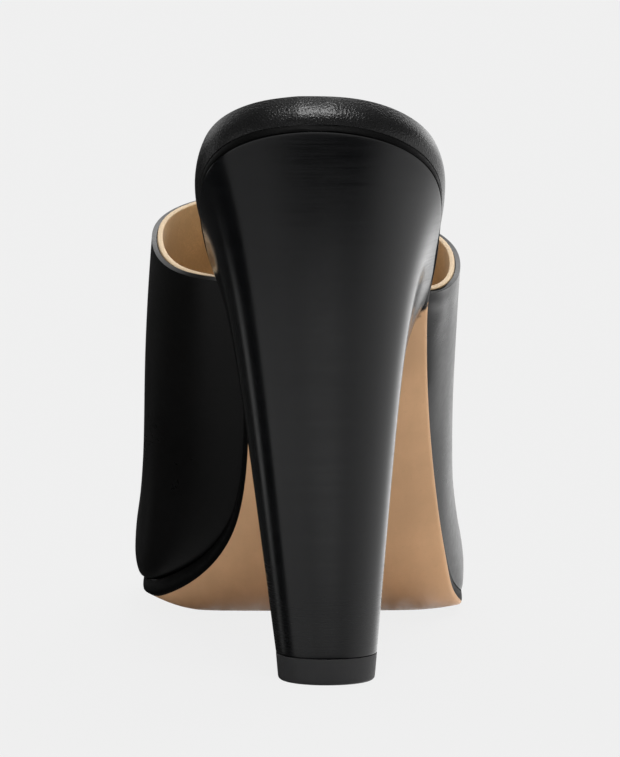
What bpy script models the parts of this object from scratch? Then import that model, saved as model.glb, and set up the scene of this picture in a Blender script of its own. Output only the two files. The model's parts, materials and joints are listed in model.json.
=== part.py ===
"""High-heeled open-toe mule sandal for the right foot, standing on its heel and tread.

The last runs along +Y from the back of the heel seat to the toe. +X is the lateral (little toe) side and -X
the medial (big toe) side. Tables and sizes are in millimetres, measured from the seat back and the floor.
The finished meshes are in metres, with the origin under the middle of the top lift, on the floor.
"""

import math
from collections import namedtuple

import bmesh
import bpy
from mathutils import Vector

MM = 0.001
SHARP_EDGE = math.radians(35)

# Driving dimensions.
LENGTH = 200.0  # seat back to toe tip, along the floor
SEAT_HEIGHT = 116.5  # floor to the underside of the outsole at the seat back
BALL_WIDTH = 73.2  # the upper at its widest
INSTEP_HEIGHT = 95.0  # floor to the top of the throat

# Layers of the sole, from the floor up, and the clearance that touching pieces keep.
GAP = 0.3
OUTSOLE_AT_SEAT = 1.5
OUTSOLE_AT_BALL = 3.0
INSOLE_AT_SEAT = 6.9
INSOLE_AT_BALL = 4.2
LAYERS_CHANGE = (45.0, 105.0)  # where the layers pass from their seat thickness to their ball thickness
OUTSOLE_BULGE = 0.2
INSOLE_BULGE = 0.9
SOCK_THICKNESS = 1.2
SOCK_INSET = 2.6
UPPER_WALL = 2.0
STEEPEST_FOOT = 0.52  # the wall's foot is cut level on the sole, and never wider than its thickness over this
FEATHER_INSET = 4.4  # outsole edge to insole edge where the upper stands between them
COVERED_MEDIAL, COVERED_LATERAL = (34.0, 43.0), (36.0, 45.0)  # where the insole draws in to let the upper pass
UNCOVERED_TOE = (174.0, 194.0)  # and where it comes out again beyond the toe opening

# Heel block and top lift.
TOP_LIFT = 5.6
HEEL_BASE_WIDTH = 21.3
HEEL_BASE_DEPTH = 25.0
HEEL_BASE_BACK = 9.0  # how far the base is set in from the seat back
HEEL_BASE_SHIFT = 1.3  # the base stands this far to the lateral side of the seat
HEEL_BREAST = 50.0  # where the front of the heel meets the sole
HEEL_BASE_ROUND = 11.25  # depth of the base's round back
HEEL_BASE_DRAW_IN = 0.8  # each side, from the round back to the breast
HEEL_BASE_CORNER = 3.5
HEEL_TOP_CORNER = 2.5
BREAST_HOLLOW = 0.7  # the middle of the breast is scooped this far back between its corners
BACK_BOW = 0.1  # and the first row behind is bowed this much
HEEL_LEVELS = 16
HEEL_SIDE_STEPS = 14
LATERAL_TAPER = 0.58  # share of the heel's spread that grows evenly from base to seat; the rest is its flare
MEDIAL_TAPER = 0.76  # on the medial side the heel runs straighter down from the seat
FLARE_BEHIND, FLARE_AT_BREAST = 4.0, 9.0  # powers of the flare: higher keeps it closer under the seat

# Round ends of the sole.
SEAT_ROUND = 24.0
TOE_ROUND = 34.0
TOE_SHIFT = -4.0  # the toe tip leans to the big toe
SEAT_SHIFT = -0.8  # and the seat's back end leans the same way
END_POWER = 2.1
SEAT_POWERS = (2.65, 2.2)  # the seat's medial and lateral shoulders are fuller than the other round ends
FIRST_ANGLE = 5.0  # degrees, where each round end starts beside the axis
END_STEPS = 8

TREAD_START, TREAD_END = 119.0, 131.0  # flat part of the tread
MIDDLE_ROWS = [31, 38, 44, 49, 54, 60, 66, 72, 78, 84, 90, 95, 100, 105, 110, 114.5]  # between the round ends
MIDDLE_ROWS += [TREAD_START, 125, TREAD_END, 138, 146, 154, 161]
FLAT_SHARE = 0.6  # the middle of the sole that stays level across
CURL_POWER = 2.2  # how late the edges of the sole curl up from there
ACROSS = [-1.0, -0.87, -0.74, -FLAT_SHARE, -0.2, 0.2, FLAT_SHARE, 0.74, 0.87, 1.0]  # columns of points

Profile = namedtuple("Profile", "along height")
PROFILE = [  # underside of the outsole: shares of the length and of the seat height
    Profile(0.000, 1.000),
    Profile(0.125, 0.834),
    Profile(0.250, 0.637),
    Profile(0.375, 0.374),
    Profile(0.475, 0.127),
    Profile(0.540, 0.029),
    Profile(TREAD_START / LENGTH, 0.0),
    Profile(TREAD_END / LENGTH, 0.0),
    Profile(0.825, 0.012),
    Profile(1.000, 0.048),
]

Outline = namedtuple("Outline", "along medial lateral medial_curl lateral_curl")
OUTLINE = [  # outsole edge: shares of the length and the ball width; the curls lift each edge, in millimetres
    Outline(0.000, 0.348, 0.350, 0.6, 0.6),
    Outline(0.120, 0.348, 0.351, 0.6, 0.6),
    Outline(0.190, 0.318, 0.346, 0.9, 0.8),
    Outline(0.250, 0.258, 0.324, 1.4, 1.2),
    Outline(0.310, 0.221, 0.331, 2.0, 1.5),
    Outline(0.375, 0.203, 0.350, 2.2, 1.6),
    Outline(0.430, 0.217, 0.379, 2.6, 1.6),
    Outline(0.480, 0.281, 0.413, 3.0, 1.4),
    Outline(0.530, 0.382, 0.441, 4.2, 1.5),
    Outline(0.590, 0.484, 0.480, 4.1, 1.4),
    Outline(0.660, 0.508, 0.482, 3.2, 1.2),
    Outline(0.760, 0.466, 0.432, 2.2, 1.0),
    Outline(0.860, 0.430, 0.380, 1.2, 0.8),
    Outline(1.000, 0.400, 0.340, 0.8, 0.8),
]

Section = namedtuple(
    "Section", "along ridge_along ridge_height medial medial_at lateral lateral_at ridge_side tuck"
)
SECTIONS = [  # the upper, from topline to toe opening. along and widths as in OUTLINE, ridge_height is a
    # share of the instep height, *_at is how far up the section its widest point is, tuck turns its foot under
    Section(0.226, 0.5425, 1.000, 0.481, 0.46, 0.438, 0.38, -0.055, 0.10),
    Section(0.300, 0.5675, 0.863, 0.494, 0.46, 0.436, 0.39, -0.058, 0.22),
    Section(0.375, 0.5950, 0.737, 0.503, 0.44, 0.434, 0.38, -0.062, 0.34),
    Section(0.450, 0.6300, 0.611, 0.507, 0.40, 0.440, 0.35, -0.068, 0.36),
    Section(0.525, 0.6700, 0.516, 0.519, 0.30, 0.467, 0.27, -0.074, 0.24),
    Section(0.600, 0.7150, 0.442, 0.533, 0.20, 0.490, 0.20, -0.080, 0.12),
    Section(0.685, 0.7650, 0.384, 0.528, 0.22, 0.489, 0.22, -0.082, 0.10),
    Section(0.775, 0.8175, 0.337, 0.490, 0.36, 0.440, 0.36, -0.080, 0.16),
    Section(0.850, 0.8650, 0.305, 0.455, 0.40, 0.398, 0.41, -0.075, 0.20),
]
LATERAL_LAG = 3.0  # the lateral foot of the topline sits this far ahead of the medial one
ROUNDNESS_MEDIAL, ROUNDNESS_LATERAL = 2.35, 2.05  # power of the arch between each widest point and the ridge
UPPER_ROWS = 24
TOPLINE_SETTLES = 120.0  # where the lag has died out
FOOT_STEPS = 6
ARCH_STEPS = 10
LEAST_RISE = 0.15  # inner points next to the foot stay this far above it


def monotone(places, values):
    """A smooth function through the points that never overshoots them."""
    steps = [after - before for before, after in zip(places, places[1:])]
    rises = [(after - before) / step for before, after, step in zip(values, values[1:], steps)]
    slopes = [rises[0]]
    for before, after in zip(rises, rises[1:]):
        slopes.append(0.0 if before * after <= 0 else 2 * before * after / (before + after))
    slopes.append(rises[-1])

    def value(place):
        place = min(max(place, places[0]), places[-1])
        k = 0
        while k < len(steps) - 1 and place > places[k + 1]:
            k += 1
        t = (place - places[k]) / steps[k]
        start = values[k] * (1 + 2 * t) * (1 - t) ** 2 + slopes[k] * steps[k] * t * (1 - t) ** 2
        end = values[k + 1] * t * t * (3 - 2 * t) - slopes[k + 1] * steps[k] * t * t * (1 - t)
        return start + end

    return value


def column(rows, name, scale):
    """One column of a table as a smooth function of the distance along the shoe."""
    return monotone([row.along * LENGTH for row in rows], [getattr(row, name) * scale for row in rows])


sole_height = column(PROFILE, "height", SEAT_HEIGHT)
medial_edge = column(OUTLINE, "medial", BALL_WIDTH)
lateral_edge = column(OUTLINE, "lateral", BALL_WIDTH)
medial_curl = column(OUTLINE, "medial_curl", 1.0)
lateral_curl = column(OUTLINE, "lateral_curl", 1.0)


def spread(medial, lateral):
    """X of the columns between two edges."""
    middle, half = (lateral + medial) / 2, (lateral - medial) / 2
    return [middle + half * across for across in ACROSS]


def blend(start, end, place):
    """0 before start, 1 after end, and an easy change between."""
    t = min(max((place - start) / (end - start), 0.0), 1.0)
    return t * t * (3 - 2 * t)


def layer(at_seat, at_ball, y):
    return at_seat + (at_ball - at_seat) * blend(*LAYERS_CHANGE, y)


def outsole_thickness(y):
    return layer(OUTSOLE_AT_SEAT, OUTSOLE_AT_BALL, y)


def insole_thickness(y):
    return layer(INSOLE_AT_SEAT, INSOLE_AT_BALL, y)


def sole_normal(y):
    """Direction square to the sole, in the YZ plane."""
    reach = 0.05
    rise = (sole_height(y + reach) - sole_height(y - reach)) / (2 * reach)
    return Vector((0.0, -rise, 1.0)).normalized()


def end_share(y, inset, seat_power):
    """Share of the width that is left inside the round ends of the sole, drawn in by the inset."""
    heel_end, toe_end = inset, LENGTH - inset
    if y < SEAT_ROUND:
        power, ratio = seat_power, (SEAT_ROUND - y) / (SEAT_ROUND - heel_end)
    elif y > LENGTH - TOE_ROUND:
        power, ratio = END_POWER, (y - LENGTH + TOE_ROUND) / (toe_end - LENGTH + TOE_ROUND)
    else:
        return 1.0
    return (1 - min(ratio, 1.0) ** power) ** (1 / power)


def edges(y, inset=0.0, medial_inset=0.0, lateral_inset=0.0):
    """X of the medial and the lateral edge, drawn in by the insets."""
    centre = TOE_SHIFT * blend(LENGTH - 2 * TOE_ROUND, LENGTH, y) + SEAT_SHIFT * blend(SEAT_ROUND, 0.0, y)
    share_medial, share_lateral = (end_share(y, inset, power) for power in SEAT_POWERS)
    medial = centre - (centre + medial_edge(y) - inset) * share_medial + medial_inset
    lateral = centre + (lateral_edge(y) - inset - centre) * share_lateral - lateral_inset
    return medial, lateral


def on_sole(y, x, lift):
    """The point at x, a distance square to the sole above its underside."""
    medial, lateral = -medial_edge(y), lateral_edge(y)
    across = 2 * (x - medial) / (lateral - medial) - 1
    curl = medial_curl(y) if across < 0 else lateral_curl(y)
    curl *= (max(0.0, abs(across) - FLAT_SHARE) / (1 - FLAT_SHARE)) ** CURL_POWER
    return Vector((x, y, sole_height(y) + curl)) + sole_normal(y) * lift


def quarter_turn(steps):
    """Angles in radians, from just beside the axis to square across it."""
    return [math.radians(FIRST_ANGLE + k * (90 - FIRST_ANGLE) / steps) for k in range(steps + 1)]


def sole_rows(inset=0.0):
    """Distances along the shoe that step evenly round both ends."""
    angles = quarter_turn(END_STEPS)
    seat = [SEAT_ROUND - (SEAT_ROUND - inset) * math.cos(angle) for angle in angles]
    toe = [LENGTH - TOE_ROUND + (TOE_ROUND - inset) * math.cos(angle) for angle in reversed(angles)]
    return seat + MIDDLE_ROWS + toe


def sole_grid(rows, lift, edge_of):
    """Rows of points from the medial to the lateral edge, a lift above the underside."""
    grid = []
    for y in rows:
        grid.append([on_sole(y, x, lift(y)) for x in spread(*edge_of(y))])
    return grid


def border(grid):
    """The points round a grid, in order."""
    back, front = grid[0], grid[-1]
    lateral = [row[-1] for row in grid[1:-1]]
    medial = [row[0] for row in grid[1:-1]]
    return back + lateral + front[::-1] + medial[::-1]


def bulged(lower, upper, share, bulge_at):
    """A ring between two borders, pushed out sideways by a bulge that may change along the shoe."""
    ring = [low.lerp(high, share) for low, high in zip(lower, upper)]
    count = len(ring)
    out = []
    for k, point in enumerate(ring):
        along = ring[(k + 1) % count] - ring[k - 1]
        outward = Vector((along.y, -along.x, 0.0)).normalized()
        out.append(point + outward * bulge_at(point.y))
    return out


def closed_body(name, bottom, rings, top, material):
    """One solid: a bottom grid, rings of side points over its border, and a top grid."""
    mesh = bmesh.new()
    origin = Vector((HEEL_BASE_SHIFT, HEEL_BASE_BACK + HEEL_BASE_DEPTH / 2, 0.0))

    def place(point):
        return mesh.verts.new((point - origin) * MM)

    grids = [[[place(point) for point in row] for row in grid] for grid in (bottom, top)]
    loops = [border(grids[0])] + [[place(point) for point in ring] for ring in rings] + [border(grids[1])]
    for grid in grids:
        for row, following in zip(grid, grid[1:]):
            for k in range(len(row) - 1):
                mesh.faces.new((row[k], row[k + 1], following[k + 1], following[k]))
    for lower, upper in zip(loops, loops[1:]):
        for k in range(len(lower)):
            mesh.faces.new((lower[k - 1], lower[k], upper[k], upper[k - 1]))
    bmesh.ops.recalc_face_normals(mesh, faces=mesh.faces)
    data = bpy.data.meshes.new(name)
    mesh.to_mesh(data)
    mesh.free()
    data.shade_smooth()
    data.set_sharp_from_angle(angle=SHARP_EDGE)
    data.materials.append(material)
    body = bpy.data.objects.new(name, data)
    bpy.context.scene.collection.objects.link(body)
    return body


def finish(name, colour, roughness):
    """A plain Principled material."""
    material = bpy.data.materials.new(name)
    material.use_nodes = True
    shader = material.node_tree.nodes["Principled BSDF"]
    shader.inputs["Base Color"].default_value = (*colour, 1.0)
    shader.inputs["Roughness"].default_value = roughness
    shader.inputs["Metallic"].default_value = 0.0
    return material


def make_outsole():
    rows = sole_rows()
    bottom = sole_grid(rows, lambda y: 0.0, edges)
    top = sole_grid(rows, outsole_thickness, edges)
    ring = bulged(border(bottom), border(top), 0.5, lambda y: OUTSOLE_BULGE)
    closed_body("outsole", bottom, [ring], top, finish("tan_sole_leather", (0.45, 0.29, 0.18), 0.55))


def insole_edges(y, inset=0.0):
    """The insole reaches the outsole's edge at the seat, and stands inside the upper further on."""
    covered = (FEATHER_INSET - inset) * (1 - blend(*UNCOVERED_TOE, y))
    return edges(y, inset, covered * blend(*COVERED_MEDIAL, y), covered * blend(*COVERED_LATERAL, y))


def make_insole():
    rows = sole_rows()

    def base(y):
        return outsole_thickness(y) + GAP

    bottom = sole_grid(rows, base, insole_edges)
    top = sole_grid(rows, lambda y: base(y) + insole_thickness(y), insole_edges)
    lower, upper = border(bottom), border(top)

    def bulge(share):
        full = INSOLE_BULGE * math.sin(math.pi * share)
        return lambda y: full * (1 - blend(*COVERED_MEDIAL, y) + blend(*UNCOVERED_TOE, y))

    rings = [bulged(lower, upper, share, bulge(share)) for share in (0.2, 0.5, 0.8)]
    closed_body("insole", bottom, rings, top, finish("black_grained_leather", (0.02, 0.02, 0.02), 0.45))


def make_sock_lining():
    rows = sole_rows(SOCK_INSET)

    def base(y):
        return outsole_thickness(y) + insole_thickness(y) + 2 * GAP

    def sock_edges(y):
        return insole_edges(y, SOCK_INSET)

    bottom = sole_grid(rows, base, sock_edges)
    top = sole_grid(rows, lambda y: base(y) + SOCK_THICKNESS, sock_edges)
    closed_body("sock_lining", bottom, [], top, finish("tan_lining_leather", (0.62, 0.44, 0.27), 0.7))


def base_half_width(y):
    """Half width of the heel's base: round behind, with sides that draw in a little towards the breast."""
    half = HEEL_BASE_WIDTH / 2
    from_back = y - HEEL_BASE_BACK
    if from_back < HEEL_BASE_ROUND:
        return half * (1 - ((HEEL_BASE_ROUND - from_back) / HEEL_BASE_ROUND) ** END_POWER) ** (1 / END_POWER)
    return half - HEEL_BASE_DRAW_IN * (from_back - HEEL_BASE_ROUND) / (HEEL_BASE_DEPTH - HEEL_BASE_ROUND)


def heel_rows():
    """Pairs of a share of the depth and a corner angle, from the back of the heel to its breast."""
    sides = [1 - math.cos(angle) for angle in quarter_turn(HEEL_SIDE_STEPS)]
    return [(share, 0.0) for share in sides] + [(1.0, math.radians(angle)) for angle in (25, 50, 75, 90)]


def corner(y_start, half, radius, angle):
    """A point round a front corner of the heel, from its side at 0 to its breast at 90 degrees."""
    return y_start + radius * math.sin(angle), half - radius * (1 - math.cos(angle))


def bowed(y, share):
    """The y of each column in a row of the heel: the middle is set back, most at the breast."""
    bow = BREAST_HOLLOW * share ** 4 + BACK_BOW * (1 - share) ** 8
    return [y - bow * (1 - across * across) for across in ACROSS]


def base_grid(z):
    grid = []
    side_depth = HEEL_BASE_DEPTH - HEEL_BASE_CORNER
    for share, angle in heel_rows():
        y = HEEL_BASE_BACK + side_depth * share
        y, half = corner(y, base_half_width(y), HEEL_BASE_CORNER, angle)
        columns = spread(HEEL_BASE_SHIFT - half, HEEL_BASE_SHIFT + half)
        grid.append([Vector((x, bow_y, z)) for x, bow_y in zip(columns, bowed(y, share))])
    return grid


def heel_seat_grid():
    """The heel's top, just under the outsole and just inside its edge."""
    grid = []
    for share, angle in heel_rows():
        y_side = GAP + (HEEL_BREAST - HEEL_TOP_CORNER - GAP) * share
        medial, lateral = edges(y_side, GAP)
        y, medial = corner(y_side, -medial, HEEL_TOP_CORNER, angle)
        lateral = corner(y_side, lateral, HEEL_TOP_CORNER, angle)[1]
        grid.append([on_sole(bow_y, x, -GAP) for x, bow_y in zip(spread(-medial, lateral), bowed(y, share))])
    return grid


def make_heel():
    bottom = base_grid(TOP_LIFT + GAP)
    top = heel_seat_grid()
    lower, upper = border(bottom), border(top)
    rings = []
    for level in range(1, HEEL_LEVELS):
        up = math.sin(math.radians(90 * level / HEEL_LEVELS))
        ring = []
        for low, high in zip(lower, upper):
            to_breast = (low.y - HEEL_BASE_BACK) / HEEL_BASE_DEPTH
            power = FLARE_BEHIND + (FLARE_AT_BREAST - FLARE_BEHIND) * to_breast
            medial = blend(HEEL_BASE_WIDTH / 2, -HEEL_BASE_WIDTH / 2, low.x - HEEL_BASE_SHIFT)
            taper = LATERAL_TAPER + (MEDIAL_TAPER - LATERAL_TAPER) * medial
            point = low.lerp(high, taper * up + (1 - taper) * up ** power)
            point.z = low.z + (high.z - low.z) * up
            ring.append(point)
        rings.append(ring)
    closed_body("heel", bottom, rings, top, finish("black_stacked_leather", (0.02, 0.02, 0.02), 0.3))


def make_top_lift():
    bottom = base_grid(0.0)
    top = base_grid(TOP_LIFT)
    closed_body("top_lift", bottom, [], top, finish("black_rubber", (0.03, 0.03, 0.03), 0.7))


section_functions = {
    name: column(SECTIONS, name, scale)
    for name, scale in (
        ("ridge_along", LENGTH),
        ("ridge_height", INSTEP_HEIGHT),
        ("medial", BALL_WIDTH),
        ("medial_at", 1.0),
        ("lateral", BALL_WIDTH),
        ("lateral_at", 1.0),
        ("ridge_side", BALL_WIDTH),
        ("tuck", 1.0),
    )
}


def half_section(foot, widest, widest_up, ridge, height, tuck, roundness):
    """Sideways and upward distances of one side of a section, from its foot on the sole to its ridge."""
    points = []
    for k in range(FOOT_STEPS):
        t = k / FOOT_STEPS
        side = foot * (1 - t) ** 2 + widest * (1 - (1 - t) ** 2)
        up = widest_up * (2 * t * (1 - t) * tuck + t * t)
        points.append((side, up))
    for k in range(ARCH_STEPS + 1):
        angle = math.radians(90 * k / ARCH_STEPS)
        side = ridge + (widest - ridge) * max(math.cos(angle), 0.0) ** (2 / roundness)
        up = widest_up + (height - widest_up) * math.sin(angle) ** (2 / roundness)
        points.append((side, up))
    return points


def wall_points(points):
    """The same section, a wall's thickness further in."""
    inner = []
    last = len(points) - 1
    for k, (side, up) in enumerate(points):
        before, after = points[max(k - 1, 0)], points[min(k + 1, last)]
        run, rise = after[0] - before[0], after[1] - before[1]
        length = math.hypot(run, rise)
        if k in (0, last):
            slope = max(abs(rise) / length, STEEPEST_FOOT)
            inner.append((side - math.copysign(UPPER_WALL / slope, side), 0.0))
        else:
            inner.append((side + rise / length * UPPER_WALL, max(up - run / length * UPPER_WALL, LEAST_RISE)))
    return inner


def upper_rows():
    """The outer and the inner points of each section, from the topline to the toe opening."""
    outer, inner = [], []
    start, end = SECTIONS[0].along * LENGTH, SECTIONS[-1].along * LENGTH
    for step in range(UPPER_ROWS + 1):
        y = start + (end - start) * step / UPPER_ROWS
        size = {name: function(y) for name, function in section_functions.items()}
        y_lateral = y + LATERAL_LAG * (1 - blend(start, TOPLINE_SETTLES, y))
        foot_medial = edges(y)[0]
        foot_lateral = edges(y_lateral)[1]
        base_medial = on_sole(y, foot_medial, outsole_thickness(y) + GAP)
        base_lateral = on_sole(y_lateral, foot_lateral, outsole_thickness(y_lateral) + GAP)
        middle = base_medial.lerp(base_lateral, 0.5)
        rise = Vector((0.0, size["ridge_along"] - middle.y, size["ridge_height"] - middle.z))
        height = rise.length
        up = rise.normalized()
        ridge = size["ridge_side"]
        tuck = size["tuck"]
        widest_medial = size["medial"], size["medial_at"] * height
        widest_lateral = size["lateral"], size["lateral_at"] * height
        medial = half_section(-foot_medial, *widest_medial, -ridge, height, tuck, ROUNDNESS_MEDIAL)
        lateral = half_section(foot_lateral, *widest_lateral, ridge, height, tuck, ROUNDNESS_LATERAL)
        section = [(-side, rising) for side, rising in medial] + lateral[-2::-1]
        for points, row in ((section, outer), (wall_points(section), inner)):
            placed = []
            for x, rising in points:
                share = (x - foot_medial) / (foot_lateral - foot_medial)
                foot = base_medial.lerp(base_lateral, min(max(share, 0.0), 1.0))
                placed.append(Vector((x, foot.y, foot.z)) + up * rising)
            row.append(placed)
    return outer, inner


def make_upper():
    outer, inner = upper_rows()
    closed_body("upper", inner, [], outer, finish("black_smooth_leather", (0.015, 0.015, 0.015), 0.4))


def main():
    for old in list(bpy.data.objects):
        bpy.data.objects.remove(old)
    make_outsole()
    make_insole()
    make_sock_lining()
    make_upper()
    make_heel()
    make_top_lift()


main()
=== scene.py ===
"""A high-heeled mule sandal for the right foot, dressed over the solids of its frame.

+Y runs from the heel to the toe, +X to the lateral (little toe) side, and the floor is at Z = 0.
"""

import cmath
import json
import math
from collections import namedtuple

import bpy
import numpy as np
from bpy.props import FloatProperty, FloatVectorProperty, IntProperty, PointerProperty
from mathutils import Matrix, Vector
from numpy.polynomial import chebyshev

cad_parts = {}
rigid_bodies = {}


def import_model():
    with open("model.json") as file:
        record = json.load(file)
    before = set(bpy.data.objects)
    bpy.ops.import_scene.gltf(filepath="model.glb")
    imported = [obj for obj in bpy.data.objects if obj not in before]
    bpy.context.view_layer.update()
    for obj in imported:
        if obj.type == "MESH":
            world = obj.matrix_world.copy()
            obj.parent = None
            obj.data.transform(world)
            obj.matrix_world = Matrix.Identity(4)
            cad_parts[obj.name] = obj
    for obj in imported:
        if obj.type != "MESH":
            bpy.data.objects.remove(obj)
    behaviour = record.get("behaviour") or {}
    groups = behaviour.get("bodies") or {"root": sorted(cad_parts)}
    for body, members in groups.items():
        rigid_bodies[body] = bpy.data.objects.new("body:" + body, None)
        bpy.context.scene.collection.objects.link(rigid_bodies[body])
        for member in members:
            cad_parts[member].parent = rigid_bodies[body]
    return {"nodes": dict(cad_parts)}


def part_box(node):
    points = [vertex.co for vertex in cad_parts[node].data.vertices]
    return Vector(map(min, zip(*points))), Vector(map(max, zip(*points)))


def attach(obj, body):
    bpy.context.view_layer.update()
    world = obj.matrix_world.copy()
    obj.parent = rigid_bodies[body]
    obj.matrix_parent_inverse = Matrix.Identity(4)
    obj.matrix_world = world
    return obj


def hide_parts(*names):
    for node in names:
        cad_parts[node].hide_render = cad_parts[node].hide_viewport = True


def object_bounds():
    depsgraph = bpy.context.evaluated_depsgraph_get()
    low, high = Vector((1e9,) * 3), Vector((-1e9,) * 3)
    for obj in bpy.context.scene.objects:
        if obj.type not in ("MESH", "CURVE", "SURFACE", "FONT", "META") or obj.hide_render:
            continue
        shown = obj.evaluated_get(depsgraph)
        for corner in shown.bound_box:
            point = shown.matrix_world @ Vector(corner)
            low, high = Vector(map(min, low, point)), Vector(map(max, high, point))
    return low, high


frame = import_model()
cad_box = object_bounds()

bl_info = {
    "name": "High-heeled mule sandal",
    "version": (1, 0, 0),
    "blender": (4, 5, 0),
    "location": "3D View > Sidebar > Sandal",
    "description": "Dresses the solids of a mule sandal in leather, lining, edge ink and heel polish",
    "category": "Object",
}

MM = 0.001
MERGE = 0.001 * MM


# Sizes and colours that a user would change.


def length(name, description, millimetres):
    return FloatProperty(
        name=name, description=description, default=millimetres * MM, min=0.0, precision=5,
        unit="LENGTH", subtype="DISTANCE",
    )


def colour(name, description, default):
    return FloatVectorProperty(
        name=name, description=description, default=default, size=3, min=0.0, max=1.0, subtype="COLOR"
    )


def factor(name, description, default):
    return FloatProperty(
        name=name, description=description, default=default, min=0.0, max=1.0, subtype="FACTOR"
    )


class VampSettings(bpy.types.PropertyGroup):
    leather: length("Leather", "Thickness of the outer leather", 1.05)
    lining: length("Lining", "Thickness of the lining leather", 1.25)
    lining_stand: length("Lining stand", "How far inside the leather the lining stands", 0.45)
    lining_edge: length("Lining edge", "How far the lining's edge stands out at its feet", 1.35)
    turned_edge: length("Turned edge", "How round the leather turns over at its openings", 0.6)
    cut_edge: length("Cut edge", "How round the lining's cut edge is", 0.35)
    smoothing: IntProperty(
        name="Smoothing", description="Subdivision steps of the skins", default=2, min=0, max=3
    )
    black: colour("Calf", "Black of the smooth calf", (0.0016, 0.0015, 0.0015))
    lining_tan: colour("Lining tan", "The suede-like face of the lining", (0.62, 0.42, 0.215))
    cream: colour("Cut edge cream", "The raw cut edge of the lining", (0.64, 0.49, 0.32))
    roughness: factor("Roughness", "Roughness of the calf", 0.29)


class SoleSettings(bpy.types.PropertyGroup):
    edge: length("Sole edge", "How round the outsole's edge is", 0.2)
    wrap: length("Wrap edge", "How round the insole's wrapped edge turns over and under", 0.8)
    wrap_drop: length("Wrap drop", "How far the wrap is lowered to meet the outsole", 0.2)
    sock: length("Sock edge", "How round the sock lining's edge is", 0.35)
    feather: length("Feathered edge", "How far the tan leather rolls up the lateral edge", 0.7)
    seat_trim: length("Seat trim", "How far the outsole stands back from the heel's edge at the seat", 0.2)
    medial_ink: length("Inked arris", "How far the medial edge's ink turns under the sole", 0.6)
    heel_seat: length("Inked seat", "How far behind the heel's breast the tan leather ends", 5.5)
    # Painted shade: the seat's black ink fades out over the tan in front of the heel's breast, standing in
    # for the shade that falls there.
    waist_ink_and_shade: length("Inked waist", "How far along the shoe the seat's ink fades out", 43.0)
    tan: colour("Sole tan", "Natural tan of the sole leather", (0.73, 0.437, 0.238))
    ink: colour("Edge ink", "Black of the inked and burnished edge", (0.0015, 0.0015, 0.0015))
    grain_black: colour("Wrap black", "Black of the insole's grained leather", (0.0048, 0.0048, 0.005))


class HeelSettings(bpy.types.PropertyGroup):
    arris: length("Arris", "How round the heel's top and bottom edges are", 0.12)
    seat_rise: length("Seat rise", "How far the heel's ends reach to meet their neighbours", 0.2)
    lift_wear: length("Lift edge", "How round the top lift's floor edge is", 0.6)
    lift_taper: factor("Lift taper", "How much narrower the top lift is at the floor", 0.045)
    black: colour("Heel black", "Black of the polished stacked leather", (0.0015, 0.0018, 0.0024))
    rubber: colour("Rubber", "Black of the top lift's rubber", (0.024, 0.024, 0.025))
    roughness: factor("Roughness", "Roughness of the heel's polish", 0.18)
    worn_roughness: factor("Worn roughness", "How much duller the polish is near the floor", 0.08)
    worn_height: length("Worn height", "How far up the heel it is worn dull", 34.0)


class StudioSettings(bpy.types.PropertyGroup):
    floor: colour("Floor", "Pale floor and backdrop", (0.86, 0.86, 0.86))
    shadow: factor("Shadow", "How much of the floor's brightness a shadow can take away", 0.035)
    paper: factor("Paper", "How much of its light the floor sends back to the sandal", 0.8)
    distance: length("Distance", "How far the camera stands behind the heel", 1221.5)
    height: length("Height", "Height of the camera over the floor", 190.0)
    aside: length("Aside", "How far the camera stands to the medial side", 38.9)
    lens: FloatProperty(name="Lens", description="Focal length", default=0.279, unit="CAMERA")


# Blender's tools, on one piece at a time.


def only(piece):
    """Makes a piece the only thing selected, and the active one."""
    if bpy.context.object and bpy.context.object.mode != "OBJECT":
        bpy.ops.object.mode_set(mode="OBJECT")
    bpy.ops.object.select_all(action="DESELECT")
    piece.select_set(True)
    bpy.context.view_layer.objects.active = piece


def edit(piece, kind="VERT"):
    """Edit mode on a piece, with nothing of it selected."""
    only(piece)
    bpy.ops.object.mode_set(mode="EDIT")
    bpy.ops.mesh.select_mode(type=kind)
    bpy.ops.mesh.select_all(action="DESELECT")


def leave():
    bpy.ops.object.mode_set(mode="OBJECT")


def pick(piece, parts, wanted):
    """Selects the vertices, edges or faces of a piece that a test wants, and opens edit mode on them."""
    kind = {"vertices": "VERT", "edges": "EDGE", "polygons": "FACE"}[parts]
    edit(piece, kind)
    leave()
    for item in getattr(piece.data, parts):
        item.select = bool(wanted(item))
    bpy.ops.object.mode_set(mode="EDIT")


def merged_copy(node, name):
    """A copy of one of the frame's solids, its loose triangles merged into one skin."""
    only(frame["nodes"][node])
    bpy.ops.object.duplicate(linked=False)
    piece = bpy.context.object
    piece.name = piece.data.name = name
    piece.parent = None
    for key in list(piece.keys()):
        del piece[key]
    piece.data.materials.clear()
    edit(piece)
    bpy.ops.mesh.customdata_custom_splitnormals_clear()
    bpy.ops.mesh.select_all(action="SELECT")
    bpy.ops.mesh.remove_doubles(threshold=MERGE)
    leave()
    return piece


FLAT_ENOUGH = math.radians(50)
SQUARE_ENOUGH = math.radians(70)


def quads(piece):
    """Joins a piece's triangles in pairs."""
    edit(piece)
    bpy.ops.mesh.select_all(action="SELECT")
    bpy.ops.mesh.tris_convert_to_quads(face_threshold=FLAT_ENOUGH, shape_threshold=SQUARE_ENOUGH)
    leave()


def mark_sharp(piece, degrees):
    edit(piece, "EDGE")
    bpy.ops.mesh.edges_select_sharp(sharpness=math.radians(degrees))
    bpy.ops.mesh.mark_sharp()
    leave()


def clear_sharp(piece):
    edit(piece, "EDGE")
    bpy.ops.mesh.select_all(action="SELECT")
    bpy.ops.mesh.mark_sharp(clear=True)
    leave()


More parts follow.
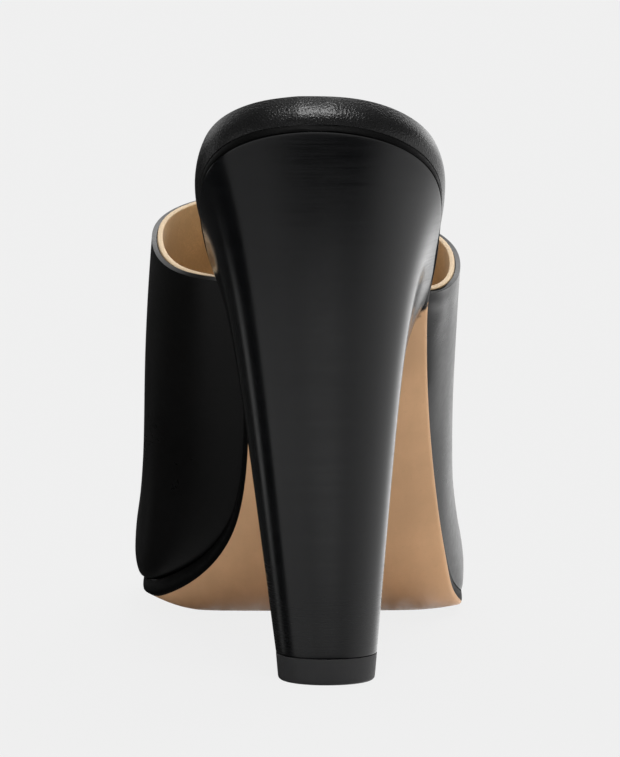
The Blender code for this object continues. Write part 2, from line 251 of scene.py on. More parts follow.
def select_skin(piece, seed):
    """Selects a piece's side, out to its sharp edges, from the face that comes first by a measure."""
    first = max(piece.data.polygons, key=seed).index
    pick(piece, "polygons", lambda face: face.index == first)
    bpy.ops.mesh.select_linked(delimit={"SHARP"})


def round_edges(piece, degrees, radius, segments=3):
    """Rounds every edge sharper than an angle."""
    edit(piece, "EDGE")
    bpy.ops.mesh.edges_select_sharp(sharpness=math.radians(degrees))
    bpy.ops.mesh.bevel(offset=radius, segments=segments, affect="EDGES", clamp_overlap=True)
    leave()


def smooth_skin(piece, levels):
    """Subdivides a piece smoothly and shades it smooth."""
    only(piece)
    if levels:
        step = piece.modifiers.new("smooth_skin", "SUBSURF")
        step.levels = step.render_levels = levels
        bpy.ops.object.modifier_apply(modifier=step.name)
    bpy.ops.object.shade_smooth()


def outward(piece):
    edit(piece)
    bpy.ops.mesh.select_all(action="SELECT")
    bpy.ops.mesh.normals_make_consistent(inside=False)
    leave()


def finished(piece, slot, *nodes):
    """Puts a finished piece on the sandal, in place of its solid."""
    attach(piece, "root")
    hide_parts(*nodes)


# Shapes read from the frame's solids.


def links_of(mesh):
    """The neighbours of each vertex."""
    links = [set() for _ in mesh.vertices]
    for edge in mesh.edges:
        start, end = edge.vertices
        links[start].add(end)
        links[end].add(start)
    return links


def rings_from(first, mesh):
    """A mesh's vertices in rings, each one link further from the first, all in matching order."""
    links = links_of(mesh)
    rings, seen = [first], set(first)
    while rings[-1]:
        rings.append({near for vertex in rings[-1] for near in links[vertex]} - seen)
        seen |= rings[-1]
    rings.pop()
    rings[1] = walked(rings[1], links)
    rings[0] = ordered_by(rings[1], rings[0], links, mesh)
    for index in range(2, len(rings)):
        rings[index] = ordered_by(rings[index - 1], rings[index], links, mesh)
    return np.array([[mesh.vertices[vertex].co for vertex in ring] for ring in rings])


def walked(ring, links):
    """A ring's vertices in the order that one passes them."""
    walk = [min(ring)]
    while len(walk) < len(ring):
        walk.append(min((links[walk[-1]] & ring) - set(walk)))
    return walk


def ordered_by(before, ring, links, mesh):
    """A ring's vertices in the order of the ring next to it, and turned to match it best."""
    share = math.tau * 1j / len(before)
    place = {vertex: cmath.exp(share * index) for index, vertex in enumerate(before)}

    def bearing(vertex):
        return cmath.phase(sum(place[near] for near in links[vertex] if near in place))

    ring = sorted(ring, key=bearing)
    spots = np.array([mesh.vertices[vertex].co for vertex in ring])
    marks = np.array([mesh.vertices[vertex].co for vertex in before])
    turned = [np.roll(spots, -turn, axis=0) for turn in range(len(ring))]
    turn = int(np.argmin([np.linalg.norm(spot - marks, axis=1).sum() for spot in turned]))
    return ring[turn:] + ring[:turn]


def upper_grids():
    """The upper's outer and inner skin, as rows of points that start at the topline's medial foot."""
    solid = merged_copy("upper", "upper_measure")
    mark_sharp(solid, 30)
    select_skin(solid, lambda face: face.center.z)
    leave()
    topline = {vertex.index for vertex in solid.data.vertices if vertex.select}
    rings = rings_from(topline, solid.data)
    bpy.data.objects.remove(solid)
    round_count = rings.shape[1]
    across = np.arange(round_count // 2)

    def folded(foot):
        return rings[:, (foot + across) % round_count], rings[:, (foot - 1 - across) % round_count]

    walls = [np.linalg.norm(np.subtract(*folded(foot)), axis=2).sum() for foot in across]
    skins = folded(int(np.argmin(walls)))
    skins = sorted(skins, key=lambda skin: -np.linalg.norm(np.diff(skin, axis=1), axis=2).sum())
    return [skin if skin[0, 0, 0] < skin[0, -1, 0] else skin[:, ::-1] for skin in skins]


BREAST_CORNER = 4.0  # how far behind the breast its corners end
EVEN_DEGREE = 8  # of the curve that evens out a ring


def heel_rings():
    """The rings of points that the heel's solid is lofted through, from the top lift to the seat."""
    solid = merged_copy("heel", "heel_measure")
    mark_sharp(solid, 45)
    select_skin(solid, lambda face: face.center.x)
    bpy.ops.mesh.select_all(action="INVERT")
    bpy.ops.mesh.delete(type="FACE")
    leave()
    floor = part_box("heel")[0].z
    base = {vertex.index for vertex in solid.data.vertices if vertex.co.z < floor + 0.1 * MM}
    rings = rings_from(base, solid.data)
    bpy.data.objects.remove(solid)
    return evened(rings)


def evened(rings):
    """Evens out each ring's curve and points, round the back and sides up to the breast's corners."""
    middle = rings[len(rings) // 2, :, 1]
    rings = np.roll(rings, -int(np.argmax(middle)), axis=1)
    middle = rings[len(rings) // 2, :, 1]
    behind = np.flatnonzero(middle < middle.max() - BREAST_CORNER * MM)
    steps = np.linspace(-1, 1, len(behind))[1:-1]
    for ring in rings:
        curve = ring[behind]
        run = np.append(0.0, np.linalg.norm(np.diff(curve, axis=0), axis=1).cumsum())
        fitted = chebyshev.chebfit(run / run[-1] * 2 - 1, curve, EVEN_DEGREE)
        ring[behind[1:-1]] = chebyshev.chebval(steps, fitted).T
    return rings


# Finishes.


NOISE_ROUGHNESS = 0.55


class Finish:
    """A material whose Principled shader is fed by the nodes that are added to it."""

    def __init__(self, name, base, roughness, **sockets):
        self.material = bpy.data.materials.new(name)
        self.material.use_nodes = True
        self.tree = self.material.node_tree
        self.shader = self.tree.nodes["Principled BSDF"]
        self.shader.inputs["Base Color"].default_value = (*base, 1.0)
        self.shader.inputs["Roughness"].default_value = roughness
        for socket, value in sockets.items():
            self.shader.inputs[socket.replace("_", " ")].default_value = value
        self.place = self.node("ShaderNodeTexCoord").outputs["Object"]
        self.normal = None

    def node(self, kind, inputs=None, **settings):
        made = self.tree.nodes.new(kind)
        for name, value in settings.items():
            setattr(made, name, value)
        for name, value in (inputs or {}).items():
            socket = made.inputs[name]
            if isinstance(value, bpy.types.NodeSocket):
                self.tree.links.new(value, socket)
            else:
                socket.default_value = value
        return made

    def stretched(self, scale):
        """The piece's own coordinates, stretched by a scale for each axis."""
        return self.node("ShaderNodeMapping", {"Vector": self.place, "Scale": scale}).outputs["Vector"]

    def noise(self, size, detail, distortion=0.0, place=None):
        """Cloudy noise whose lumps are about a size in millimetres."""
        inputs = {
            "Vector": place or self.place, "Scale": 1 / (size * MM), "Detail": detail,
            "Roughness": NOISE_ROUGHNESS, "Distortion": distortion,
        }
        return self.node("ShaderNodeTexNoise", inputs).outputs["Fac"]

    def cells(self, size, feature="F1"):
        """Distance to the nearest of the cells, which are about a size in millimetres."""
        inputs = {"Vector": self.place, "Scale": 1 / (size * MM)}
        return self.node("ShaderNodeTexVoronoi", inputs, feature=feature).outputs["Distance"]

    def ramp(self, value, low, high, start=0.0, end=1.0):
        """A value between low and high, spread smoothly from start to end."""
        inputs = {"Value": value, "From Min": low, "From Max": high, "To Min": start, "To Max": end}
        made = self.node("ShaderNodeMapRange", inputs, interpolation_type="SMOOTHSTEP")
        return made.outputs["Result"]

    def sum(self, first, second, operation="ADD"):
        """The sum of two values, or what another operation makes of them."""
        return self.node("ShaderNodeMath", {0: first, 1: second}, operation=operation).outputs["Value"]

    def mixed(self, share, first, second):
        """A colour between two others."""
        made = self.node("ShaderNodeMix", {"Factor": share}, data_type="RGBA")
        for index, value in ((6, first), (7, second)):
            if isinstance(value, bpy.types.NodeSocket):
                self.tree.links.new(value, made.inputs[index])
            else:
                made.inputs[index].default_value = (*value, 1.0)
        return made.outputs[2]

    def bump(self, height, depth):
        """Adds relief: a height from 0 to 1 stands a depth in millimetres."""
        inputs = {"Height": height, "Distance": depth * MM, "Strength": 1.0}
        if self.normal:
            inputs["Normal"] = self.normal
        self.normal = self.node("ShaderNodeBump", inputs).outputs["Normal"]

    def feed(self, **values):
        for socket, value in values.items():
            self.tree.links.new(value, self.shader.inputs[socket.replace("_", " ")])

    def done(self):
        if self.normal:
            self.feed(Normal=self.normal)
        return self.material


def shade(tone, share):
    return tuple(min(channel * share, 1.0) for channel in tone)


def smooth_calf(settings):
    """Black calf: closed pores, faint long wrinkles and a soft uneven shine."""
    leather = Finish("smooth_calf", settings.black, settings.roughness)
    clouds = leather.noise(26, detail=3)
    wrinkles = leather.noise(1.6, detail=5, distortion=0.6)
    pores = leather.cells(0.34)
    pale = shade(settings.black, 1.5)
    leather.feed(Base_Color=leather.mixed(leather.ramp(clouds, 0.35, 0.65), settings.black, pale))
    cloudy = leather.ramp(clouds, 0.3, 0.7, -0.03, 0.03)
    uneven = leather.sum(cloudy, leather.ramp(wrinkles, 0.3, 0.7, 0.0, 0.05))
    leather.feed(Roughness=leather.sum(uneven, settings.roughness))
    leather.bump(wrinkles, 0.02)
    leather.bump(leather.ramp(pores, 0.0, 0.35), 0.008)
    return leather.done()


def grained_calf(settings):
    """The leather wrapped round the insole: a pebbled grain that breaks up the shine."""
    leather = Finish("grained_calf", settings.grain_black, 0.32)
    pebbles = leather.cells(0.42, feature="SMOOTH_F1")
    fine = leather.noise(0.2, detail=4)
    clouds = leather.noise(14, detail=3)
    black = settings.grain_black
    leather.feed(
        Base_Color=leather.mixed(leather.ramp(clouds, 0.35, 0.65), black, shade(black, 1.5)),
        Roughness=leather.ramp(pebbles, 0.1, 0.6, 0.25, 0.33),
    )
    leather.bump(leather.ramp(pebbles, 0.0, 0.62, 1.0, 0.0), 0.042)
    leather.bump(fine, 0.01)
    return leather.done()


def lining_suede(name, settings):
    """The lining's brushed face, mottled and napped."""
    suede = Finish(name, settings.lining_tan, 0.82, Sheen_Weight=0.1, Sheen_Roughness=0.5)
    patches = suede.noise(8, detail=5, distortion=0.8)
    nap = suede.noise(0.5, detail=5)
    tan = settings.lining_tan
    tone = suede.mixed(suede.ramp(patches, 0.3, 0.7), shade(tan, 0.84), shade(tan, 1.12))
    suede.feed(Base_Color=suede.mixed(suede.ramp(nap, 0.2, 0.9), shade(tan, 0.82), tone))
    suede.bump(nap, 0.05)
    suede.bump(suede.noise(5, detail=3), 0.12)
    return suede.done()


def cut_edge(settings):
    """The lining's raw cut edge, pale and fibrous."""
    edge = Finish("lining_cut_edge", settings.cream, 0.75)
    fibre = edge.noise(0.5, detail=5)
    pale = settings.cream
    edge.feed(Base_Color=edge.mixed(edge.ramp(fibre, 0.3, 0.75), shade(pale, 0.86), pale))
    edge.bump(fibre, 0.04)
    return edge.done()


# Painted shade: the seat's black ink fades out over the tan in front of the heel's breast and reaches
# further forward on the medial side, standing in for the shade that falls there.
WAIST_SLANT = 0.6  # the waist's ink reaches this much further forward per step to the medial side
INK_SHADE_FADE = 2 * MM
WAIST_RAGGED = 0.9 * MM


def sole_leather(settings):
    """Vegetable-tanned sole leather: fine grain, growth marks along the foot, and the seat's black ink
    fading out as painted shade over the tan in front of the heel.
    """
    sole = Finish("sole_leather", settings.tan, 0.5, Specular_IOR_Level=0.22)
    growth = sole.noise(3.2, detail=6, distortion=0.4, place=sole.stretched((1.0, 0.25, 0.25)))
    clouds = sole.noise(22, detail=4)
    grain = sole.cells(0.32)
    speckle = sole.noise(0.7, detail=6)
    tan, waist = settings.tan, settings.waist_ink_and_shade
    tone = sole.mixed(sole.ramp(clouds, 0.3, 0.7), shade(tan, 0.9), shade(tan, 1.06))
    tone = sole.mixed(sole.ramp(growth, 0.3, 0.75, 0.0, 0.3), tone, shade(tan, 0.85))
    tone = sole.mixed(sole.ramp(speckle, 0.55, 0.8, 0.0, 0.4), tone, shade(tan, 0.78))
    uneven = sole.ramp(sole.noise(2.5, detail=4), 0.3, 0.7, -WAIST_RAGGED, WAIST_RAGGED)
    parts = sole.node("ShaderNodeSeparateXYZ", {"Vector": sole.place}).outputs
    slanted = sole.sum(parts["Y"], sole.sum(parts["X"], WAIST_SLANT, "MULTIPLY"))
    # Painted shade: black ink over the tan towards the seat, with a soft ragged fade that stands in for
    # the shade before the heel's breast.
    inked = sole.ramp(sole.sum(slanted, uneven), waist - INK_SHADE_FADE, waist, 1.0, 0.0)
    tone = sole.mixed(inked, tone, settings.ink)
    sole.feed(Base_Color=tone, Roughness=sole.ramp(growth, 0.3, 0.7, 0.44, 0.58))
    sole.bump(growth, 0.03)
    sole.bump(sole.ramp(grain, 0.0, 0.4), 0.012)
    return sole.done()


def edge_ink(settings):
    """The outsole's edge, inked black and burnished."""
    ink = Finish("edge_ink", settings.ink, 0.55, Specular_IOR_Level=0.12)
    drag = ink.noise(1.2, detail=4, place=ink.stretched((0.3, 0.3, 1.0)))
    ink.feed(Roughness=ink.ramp(drag, 0.3, 0.7, 0.52, 0.64))
    ink.bump(drag, 0.02)
    return ink.done()


WORN_OUT = 0.4  # the share of the worn height over which the heel is dullest


def heel_polish(settings):
    """Stacked leather, inked and polished: its layers show as very fine level lines under the shine."""
    black = settings.black
    heel = Finish("heel_polish", black, settings.roughness, Coat_Weight=0.12, Coat_Roughness=0.12)
    lines = heel.noise(0.26, detail=3, place=heel.stretched((0.014, 0.014, 1.0)))
    lifts = heel.noise(1.8, detail=2, place=heel.stretched((0.02, 0.02, 1.0)))
    clouds = heel.noise(18, detail=4)
    specks = heel.cells(5.5)
    tone = heel.mixed(heel.ramp(lines, 0.35, 0.7), shade(black, 0.8), shade(black, 1.4))
    dust = heel.ramp(specks, 0.028, 0.02, 0.0, 0.6)
    heel.feed(Base_Color=heel.mixed(dust, tone, shade(black, 9.0)))
    layered = heel.ramp(lifts, 0.35, 0.65, -0.015, 0.015)
    uneven = heel.sum(layered, heel.ramp(lines, 0.3, 0.7, -0.03, 0.04))
    uneven = heel.sum(uneven, heel.ramp(clouds, 0.3, 0.7, -0.02, 0.03))
    height = heel.node("ShaderNodeSeparateXYZ", {"Vector": heel.place}).outputs["Z"]
    top = settings.worn_height
    worn = heel.ramp(height, WORN_OUT * top, top, settings.worn_roughness, 0.0)
    heel.feed(Roughness=heel.sum(heel.sum(uneven, worn), settings.roughness))
    heel.bump(lines, 0.002)
    heel.bump(lifts, 0.002)
    heel.bump(clouds, 0.02)
    return heel.done()


def lift_rubber(settings):
    """Moulded rubber, dull and finely pitted."""
    rubber = Finish("lift_rubber", settings.rubber, 0.58)
    pits = rubber.noise(0.45, detail=5)
    dark, pale = shade(settings.rubber, 0.85), shade(settings.rubber, 1.2)
    rubber.feed(
        Base_Color=rubber.mixed(rubber.ramp(pits, 0.3, 0.7), dark, pale),
        Roughness=rubber.ramp(pits, 0.3, 0.7, 0.52, 0.66),
    )
    rubber.bump(pits, 0.02)
    return rubber.done()


# Folds of the vamp.

FOLD_ENDS = 0.02  # a fold's ends keep this share's depth
FOLD_FULLNESS = 0.6  # below 1, a fold is deep over more of its length
Fold = namedtuple("Fold", "start end width depth")  # in millimetres
FOLDS = (
    Fold((22.5, 28.5, 80.0), (27.5, 34.5, 79.0), 1.5, 0.34),
    Fold((22.5, 30.5, 77.5), (26.5, 35.5, 75.5), 1.4, -0.16),
    Fold((22.5, 31.5, 75.5), (26.0, 36.5, 73.0), 1.4, 0.22),
    Fold((23.0, 33.5, 72.0), (25.5, 37.5, 69.0), 1.5, 0.14),
    Fold((25.5, 37.0, 76.0), (28.5, 46.0, 60.0), 2.4, 0.14),
)


def lay_folds(piece, folds):
    """Presses soft troughs, and with a negative depth ridges, into a piece along lines on it."""
    mesh = piece.data
    count = len(mesh.vertices)
    places, normals = np.zeros(count * 3), np.zeros(count * 3)
    mesh.vertices.foreach_get("co", places)
    mesh.vertices.foreach_get("normal", normals)
    places, normals = places.reshape(-1, 3), normals.reshape(-1, 3)
    sink = np.zeros(count)
    for fold in folds:
        start, end = np.array(fold.start) * MM, np.array(fold.end) * MM
        run = end - start
        share = np.clip((places - start) @ run / (run @ run), 0.0, 1.0)
        away = np.linalg.norm(places - start - share[:, None] * run, axis=1)
        fade = np.sin(np.pi * np.clip(share, FOLD_ENDS, 1 - FOLD_ENDS)) ** FOLD_FULLNESS
        sink += fold.depth * MM * fade * np.exp(-((away / (fold.width * MM)) ** 2))
    places -= normals * sink[:, None]
    mesh.vertices.foreach_set("co", places.ravel())
    mesh.update()


# Pieces.


def skin_of_grid(name, grid, materials):
    """A sheet laid through rows of points."""
    rows, columns = grid.shape[0] - 1, grid.shape[1] - 1
    bpy.ops.object.select_all(action="DESELECT")
    bpy.ops.mesh.primitive_grid_add(x_subdivisions=columns, y_subdivisions=rows, size=1.0)
    piece = bpy.context.object
    piece.name = piece.data.name = name
    for vertex in piece.data.vertices:
        column = round((vertex.co.x + 0.5) * columns)
        row = round((vertex.co.y + 0.5) * rows)
        vertex.co = grid[row, column]
    for material in materials:
        piece.data.materials.append(material)
    return piece


def face_away(piece, centre, away):
    """Turns a skin's faces away from a centre, or towards it."""
    centre = Vector(centre)
    total = sum(face.normal.dot(face.center - centre) * face.area for face in piece.data.polygons)
    if (total > 0) != away:
        edit(piece)
        bpy.ops.mesh.select_all(action="SELECT")
        bpy.ops.mesh.flip_normals()
        leave()


def thicken(piece, thickness, rim_material=0):
    """Gives a sheet its thickness, behind its faces."""
    only(piece)
    wall = piece.modifiers.new("wall", "SOLIDIFY")
    wall.thickness = thickness
    wall.offset = -1.0
    wall.use_even_offset = True
    wall.use_quality_normals = True
    wall.material_offset_rim = rim_material
    bpy.ops.object.modifier_apply(modifier=wall.name)


LINING_RUN = 1.2  # how late the lining's edge comes out on its way from the topline's top to its feet
TURNED_UNDER = 0.75  # how far through the wall the leather's lower edges turn
CLEAR_OF_TURN = 1.1  # the lining ends this many leathers short of the foot
LAST_ROW = 0.6  # but never moves its last points by more of their spacing


class SANDAL_OT_vamp(bpy.types.Operator):
    """Model the vamp: the outer leather with its turned edges, and the lining inside it"""

    bl_idname = "sandal.vamp"
    bl_label = "Vamp"

    def execute(self, context):
        size = context.scene.sandal_vamp
        outer, inner = upper_grids()
        turned_under = outer[:, [0, -1]] * (1 - TURNED_UNDER) + inner[:, [0, -1]] * TURNED_UNDER
        sheet = np.concatenate([turned_under[:, :1], outer, turned_under[:, 1:]], axis=1)
        leather = skin_of_grid("vamp_leather", sheet, [smooth_calf(size)])
        face_away(leather, outer.mean(axis=(0, 1)), True)
        thicken(leather, size.leather)
        round_edges(leather, 45, size.turned_edge)
        smooth_skin(leather, size.smoothing)
        lay_folds(leather, FOLDS)
        finished(leather, "black_smooth_leather", "upper")
        inward = inner - outer
        inner = inner + inward / np.linalg.norm(inward, axis=2)[..., None] * size.lining_stand
        forward = inner[0] - inner[1]
        to_feet = np.abs(np.linspace(-1, 1, inner.shape[1])) ** LINING_RUN
        forward /= np.linalg.norm(forward, axis=1)[:, None]
        inner[0] += forward * (size.lining_edge * to_feet)[:, None]
        upward = inner[:, [1, -2]] - inner[:, [0, -1]]
        lift = size.leather / np.linalg.norm(upward, axis=2)[..., None]
        inner[:, [0, -1]] += upward * np.minimum(lift * CLEAR_OF_TURN, LAST_ROW)
        finishes = [lining_suede("vamp_lining_suede", size), cut_edge(size)]
        lining = skin_of_grid("vamp_lining", inner, finishes)
        face_away(lining, inner.mean(axis=(0, 1)), False)
        thicken(lining, size.lining, rim_material=1)
        round_edges(lining, 45, size.cut_edge, segments=2)
        smooth_skin(lining, size.smoothing)
        finished(lining, "tan_lining_leather", "upper")
        return {"FINISHED"}


class SANDAL_OT_insole(bpy.types.Operator):
    """Model the insole wrapped in grained leather, and the sock lining that lies on it"""

    bl_idname = "sandal.insole"
    bl_label = "Insole and sock"

    def execute(self, context):
        size = context.scene.sandal_sole
        wrap = merged_copy("insole", "insole_wrap")
        quads(wrap)
        mark_sharp(wrap, 40)
        select_skin(wrap, lambda face: -face.area * face.normal.z)
        bpy.ops.transform.translate(value=(0.0, 0.0, -size.wrap_drop))
        leave()
        round_edges(wrap, 45, size.wrap)
        smooth_skin(wrap, 2)
        wrap.data.materials.append(grained_calf(size))
        finished(wrap, "black_grained_leather", "insole")
        sock = merged_copy("sock_lining", "sock")
        quads(sock)
        round_edges(sock, 45, size.sock)
        smooth_skin(sock, 2)
        sock.data.materials.append(lining_suede("sock_suede", context.scene.sandal_vamp))
        finished(sock, "tan_lining_leather", "sock_lining")
        return {"FINISHED"}


SEAT_TRIM_FADE = 14 * MM


class SANDAL_OT_outsole(bpy.types.Operator):
    """Model the outsole: tan below, with its edge inked and its seat trimmed in to the heel"""

    bl_idname = "sandal.outsole"
    bl_label = "Outsole"

    def execute(self, context):
        size = context.scene.sandal_sole
        sole = merged_copy("outsole", "outsole_leather")
        sole.data.materials.append(edge_ink(size))
        sole.data.materials.append(sole_leather(size))
        quads(sole)
        mark_sharp(sole, 40)
        select_skin(sole, lambda face: -face.area * face.normal.z)
        sole.active_material_index = 1
        bpy.ops.object.material_slot_assign()
        leave()
        low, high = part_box("heel")
        covered = high.y - size.heel_seat
        trim_seat(sole, (low + high) / 2, covered, size.seat_trim)
        for lateral, width, material in ((True, size.feather, 1), (False, size.medial_ink, 0)):
            tan = {key for face in sole.data.polygons if face.material_index for key in face.edge_keys}
            pick(sole, "edges", lambda edge: edge.use_edge_sharp and edge.key in tan
                 and is_on_side(sole.data, edge, lateral, covered))
            bpy.ops.mesh.bevel(offset=width, segments=3, affect="EDGES", material=material)
            leave()
        pick(sole, "polygons", lambda face: face.center.y < covered)
        sole.active_material_index = 0
        bpy.ops.object.material_slot_assign()
        leave()
        round_edges(sole, 40, size.edge, segments=2)
        clear_sharp(sole)
        smooth_skin(sole, 2)
        finished(sole, "tan_sole_leather", "outsole")
        return {"FINISHED"}


def trim_seat(piece, middle, front, trim):
    """Draws the seat in towards its middle, less and less towards the front."""
    for vertex in piece.data.vertices:
        if vertex.co.y < front:
            inward = Vector((middle.x - vertex.co.x, middle.y - vertex.co.y, 0.0)).normalized()
            vertex.co += inward * trim * min((front - vertex.co.y) / SEAT_TRIM_FADE, 1.0)


def is_on_side(mesh, edge, lateral, front):
    """Whether an edge lies on the lateral or the medial side, forward of a place along the shoe."""
    middle = sum((mesh.vertices[vertex].co for vertex in edge.vertices), Vector()) / 2
    return (middle.x > 0) == lateral and middle.y > front


def lofted(name, rings):
    """A closed body through level rings of points, from the lowest up."""
    levels, round_count = len(rings) - 1, len(rings[0])
    bpy.ops.object.select_all(action="DESELECT")
    bpy.ops.mesh.primitive_cylinder_add(vertices=round_count, depth=1.0, end_fill_type="NGON")
    body = bpy.context.object
    body.name = body.data.name = name
    pick(body, "edges", lambda edge: is_upright(body.data, edge))
    bpy.ops.mesh.subdivide(number_cuts=levels - 1)
    leave()
    for vertex in body.data.vertices:
        level = round((vertex.co.z + 0.5) * levels)
        turn = math.floor(math.atan2(vertex.co.y, vertex.co.x) / math.tau * round_count) % round_count
        vertex.co = rings[level][turn]
    outward(body)
    return body


def is_upright(mesh, edge):
    start, end = (mesh.vertices[v].co for v in edge.vertices)
    return abs(start.z - end.z) > 0.5


class SANDAL_OT_heel(bpy.types.Operator):
    """Model the heel: a stack of leather lifts, shaped, inked and polished"""

    bl_idname = "sandal.heel"
    bl_label = "Heel"

    def execute(self, context):
        size = context.scene.sandal_heel
        rings = heel_rings()
        rings[0, :, 2] -= size.seat_rise
        rings[-1, :, 2] += size.seat_rise
        rings[..., 1] += max(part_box("heel")[0].y - rings[..., 1].min(), 0.0)
        heel = lofted("heel_stack", rings)
        round_edges(heel, 45, size.arris, segments=2)
        smooth_skin(heel, 2)
        heel.data.materials.append(heel_polish(size))
        finished(heel, "black_stacked_leather", "heel")
        return {"FINISHED"}


class SANDAL_OT_top_lift(bpy.types.Operator):
    """Model the rubber top lift that the heel stands on"""

    bl_idname = "sandal.top_lift"
    bl_label = "Top lift"

    def execute(self, context):
        size = context.scene.sandal_heel
        low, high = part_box("top_lift")
        rings = lift_rings(heel_rings()[0], low.z, high.z, size.lift_wear, size.lift_taper)
        lift = lofted("lift", rings)
        round_edges(lift, 50, size.arris, segments=2)
        smooth_skin(lift, 2)
        lift.data.materials.append(lift_rubber(size))
        finished(lift, "black_rubber", "top_lift")
        return {"FINISHED"}


WORN_STEPS = 5


def lift_rings(outline, floor, top, wear, taper):
    """Rings of the top lift: the heel's base outline, rounded in at the floor, wider at the top."""
    angles = np.linspace(0, math.pi / 2, WORN_STEPS)
    worn = [(wear * (1 - math.cos(angle)), wear * (1 - math.sin(angle))) for angle in angles]
    rings = []
    for height, inset in (*worn, ((wear + top - floor) / 2, 0.0), (top - floor, 0.0)):
        ring = outline.copy()
        share = 1 - taper * (1 - height / (top - floor))
        ring[:, :2] *= share - inset / np.linalg.norm(outline[:, :2], axis=1)[:, None]
        ring[:, 2] = floor + height
        rings.append(ring)
    return np.array(rings)


# The studio. In degrees: turns from straight behind the heel towards the lateral side, rises from level.

Lamp = namedtuple("Lamp", "turn rise spread soft light")
LAMP = Lamp(9, 68, 5, 9, 17.0)
Screen = namedtuple("Screen", "turns rises light")  # a span: starts, is full, starts to fade, is gone
SCREENS = (
    Screen((-181, -180, 180, 181), (-2, 14, 90, 106), 0.06),
    Screen((-181, -180, 180, 181), (-8, 8, 40, 56), 0.06),
    Screen((-193, -181, -136, -124), (1, 10, 75, 84), 0.8),
    Screen((126, 138, 181, 193), (1, 10, 75, 84), 1.8),
    Screen((-88, -82, 10, 90), (-18.3, -14.3, 2, 9), 0.76),
    Screen((-30, 0, 10, 40), (-18.3, -14.3, 2, 9), 0.2),
    Screen((-88, -82, -45, 5), (-36, -27, -20, -12), 0.4),
    Screen((-130, -122, -118, -110), (-16, -12, 2, 9), 0.85),
    Screen((20, 100, 185, 215), (-26, -19, 5, 18), 0.98),
    Screen((125, 160, 185, 215), (-26, -19, 3, 15), 0.6),
    Screen((28, 68, 190, 220), (-82, -70, -26, -16), 0.75),
    Screen((110, 150, 190, 220), (-64, -50, -26, -16), 1.8),
    Screen((-180, -166, -40, -26), (-100, -90, -58, -48), 0.15),
)
FILL = 0.03  # light from everywhere
SOFTEN = 1.7  # how much more of it reaches dull surfaces than shiny ones mirror


def direction(turn, rise):
    turn, rise = math.radians(turn), math.radians(rise)
    level = math.cos(rise)
    return Vector((math.sin(turn) * level, -math.cos(turn) * level, math.sin(rise)))


class Surroundings(Finish):
    """The world: soft lamps and screens round the sandal, and the plain backdrop that the camera sees."""

    def __init__(self, backdrop):
        world = bpy.data.worlds.new("studio")
        bpy.context.scene.world = world
        world.use_nodes = True
        self.tree = world.node_tree
        facing = self.node("ShaderNodeTexCoord").outputs["Generated"]
        parts = self.node("ShaderNodeSeparateXYZ", {"Vector": facing}).outputs
        turn = self.sum(parts["X"], self.sum(parts["Y"], -1.0, "MULTIPLY"), "ARCTAN2")
        rise = self.sum(parts["Z"], 0.0, "ARCSINE")
        total = FILL
        for screen in SCREENS:
            lit = self.sum(self.within(turn, screen.turns), self.within(rise, screen.rises), "MULTIPLY")
            total = self.sum(total, self.sum(lit, screen.light, "MULTIPLY"))
        towards = {0: facing, 1: direction(LAMP.turn, LAMP.rise)}
        near = self.node("ShaderNodeVectorMath", towards, operation="DOT_PRODUCT").outputs["Value"]
        rim, core = (math.cos(math.radians(angle)) for angle in (LAMP.spread + LAMP.soft, LAMP.spread))
        total = self.sum(total, self.ramp(near, rim, core, 0.0, LAMP.light))
        path = self.node("ShaderNodeLightPath").outputs
        gain = self.sum(self.sum(path["Is Diffuse Ray"], SOFTEN, "MULTIPLY"), 1.0)
        total = self.sum(total, gain, "MULTIPLY")
        light = self.node("ShaderNodeBackground", {"Strength": total}).outputs[0]
        plain = self.node("ShaderNodeBackground", {"Color": (*backdrop, 1.0)}).outputs[0]
        seen = path["Is Camera Ray"]
        chosen = self.node("ShaderNodeMixShader", {0: seen, 1: light, 2: plain}).outputs[0]
        self.tree.links.new(chosen, self.tree.nodes["World Output"].inputs["Surface"])

    def within(self, value, span):
        """1 inside a span of degrees, rising to it and fading from it over its soft margins."""
        start, full, fade, gone = (math.radians(angle) for angle in span)
        begun, ended = self.ramp(value, start, full), self.ramp(value, fade, gone, 1.0, 0.0)
        return self.sum(begun, ended, "MULTIPLY")


def floor_paper(settings):
    """Pale paper that glows a little to the camera, so that the shadow on it stays faint."""
    plain = (settings.paper,) * 3
    glow = (*settings.floor, 1.0)
    paper = Finish("studio_paper", plain, 0.9, Specular_IOR_Level=0.0, Emission_Color=glow)
    seen = paper.node("ShaderNodeLightPath").outputs["Is Camera Ray"]
    paper.feed(
        Base_Color=paper.mixed(seen, plain, shade(settings.floor, settings.shadow)),
        Emission_Strength=paper.sum(seen, 1 - settings.shadow, "MULTIPLY"),
    )
    return paper.done()


FLOOR_RADIUS = 14.0  # metres
AIM_FORWARD = 20 * MM  # the camera looks at a point this far in front of the top lift's middle
AIM_DROP = 0.5 * MM  # and this far below the sandal's middle
SENSOR = 36.0
NEAREST, FURTHEST = 0.01, 100.0  # metres


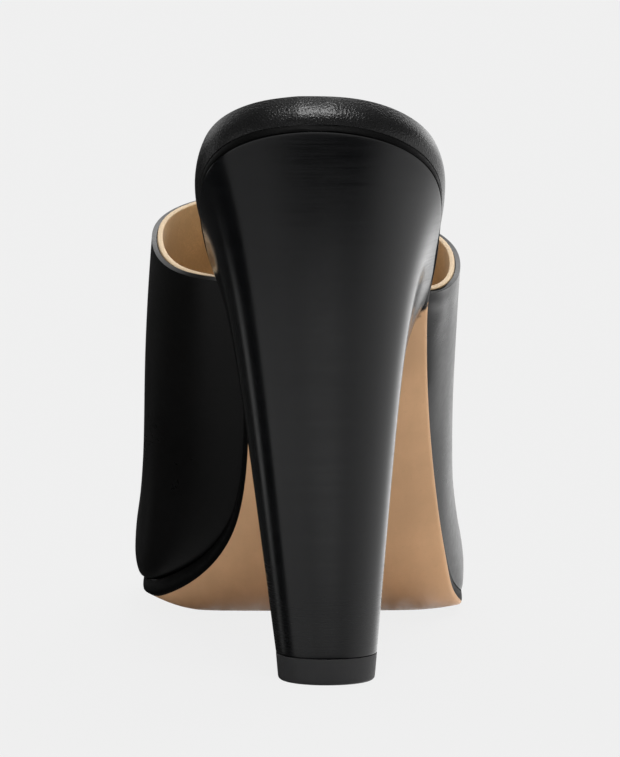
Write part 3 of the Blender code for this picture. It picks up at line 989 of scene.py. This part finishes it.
class SANDAL_OT_studio(bpy.types.Operator):
    """Lay the pale floor, hang the soft lights and set up the camera behind the heel"""

    bl_idname = "sandal.studio"
    bl_label = "Studio"

    def execute(self, context):
        size = context.scene.sandal_studio
        bpy.ops.object.select_all(action="DESELECT")
        bpy.ops.mesh.primitive_circle_add(vertices=96, radius=FLOOR_RADIUS, fill_type="NGON")
        floor = context.object
        floor.name = "studio_floor"
        floor.data.materials.append(floor_paper(size))
        floor.visible_glossy = False
        Surroundings(size.floor)
        low, high = cad_box
        aim = Vector(((low.x + high.x) / 2, AIM_FORWARD, (low.z + high.z) / 2 - AIM_DROP))
        bpy.ops.object.camera_add(location=(-size.aside, -size.distance, size.height))
        camera = context.object
        camera.rotation_euler = (aim - camera.location).to_track_quat("-Z", "Y").to_euler()
        camera.data.lens_unit = "MILLIMETERS"
        camera.data.lens = size.lens / MM
        camera.data.sensor_width = SENSOR
        camera.data.clip_start, camera.data.clip_end = NEAREST, FURTHEST
        context.scene.camera = camera
        context.scene.view_settings.view_transform = "Standard"
        return {"FINISHED"}


class SANDAL_PT_panel(bpy.types.Panel):
    """The sandal's pieces and their sizes"""

    bl_idname = "SANDAL_PT_panel"
    bl_label = "Mule sandal"
    bl_space_type = "VIEW_3D"
    bl_region_type = "UI"
    bl_category = "Sandal"

    def draw(self, context):
        for group, operators in PANEL_ROWS:
            settings = getattr(context.scene, group)
            box = self.layout.box()
            for operator in operators:
                box.operator(operator.bl_idname)
            for name in settings.__annotations__:
                box.prop(settings, name)


SETTINGS = {
    "sandal_vamp": VampSettings,
    "sandal_sole": SoleSettings,
    "sandal_heel": HeelSettings,
    "sandal_studio": StudioSettings,
}
PANEL_ROWS = (
    ("sandal_vamp", (SANDAL_OT_vamp,)),
    ("sandal_sole", (SANDAL_OT_insole, SANDAL_OT_outsole)),
    ("sandal_heel", (SANDAL_OT_top_lift, SANDAL_OT_heel)),  # the lift reads the heel's solid
    ("sandal_studio", (SANDAL_OT_studio,)),
)
OPERATORS = [operator for _, row in PANEL_ROWS for operator in row]
CLASSES = (*SETTINGS.values(), *OPERATORS, SANDAL_PT_panel)


def register():
    for made in CLASSES:
        bpy.utils.register_class(made)
    for name, settings in SETTINGS.items():
        setattr(bpy.types.Scene, name, PointerProperty(type=settings))


def unregister():
    for name in SETTINGS:
        delattr(bpy.types.Scene, name)
    for made in reversed(CLASSES):
        bpy.utils.unregister_class(made)


def main():
    register()
    bpy.ops.sandal.vamp()
    bpy.ops.sandal.insole()
    bpy.ops.sandal.outsole()
    bpy.ops.sandal.top_lift()
    bpy.ops.sandal.heel()
    bpy.ops.sandal.studio()


if __name__ == "__main__":
    main()
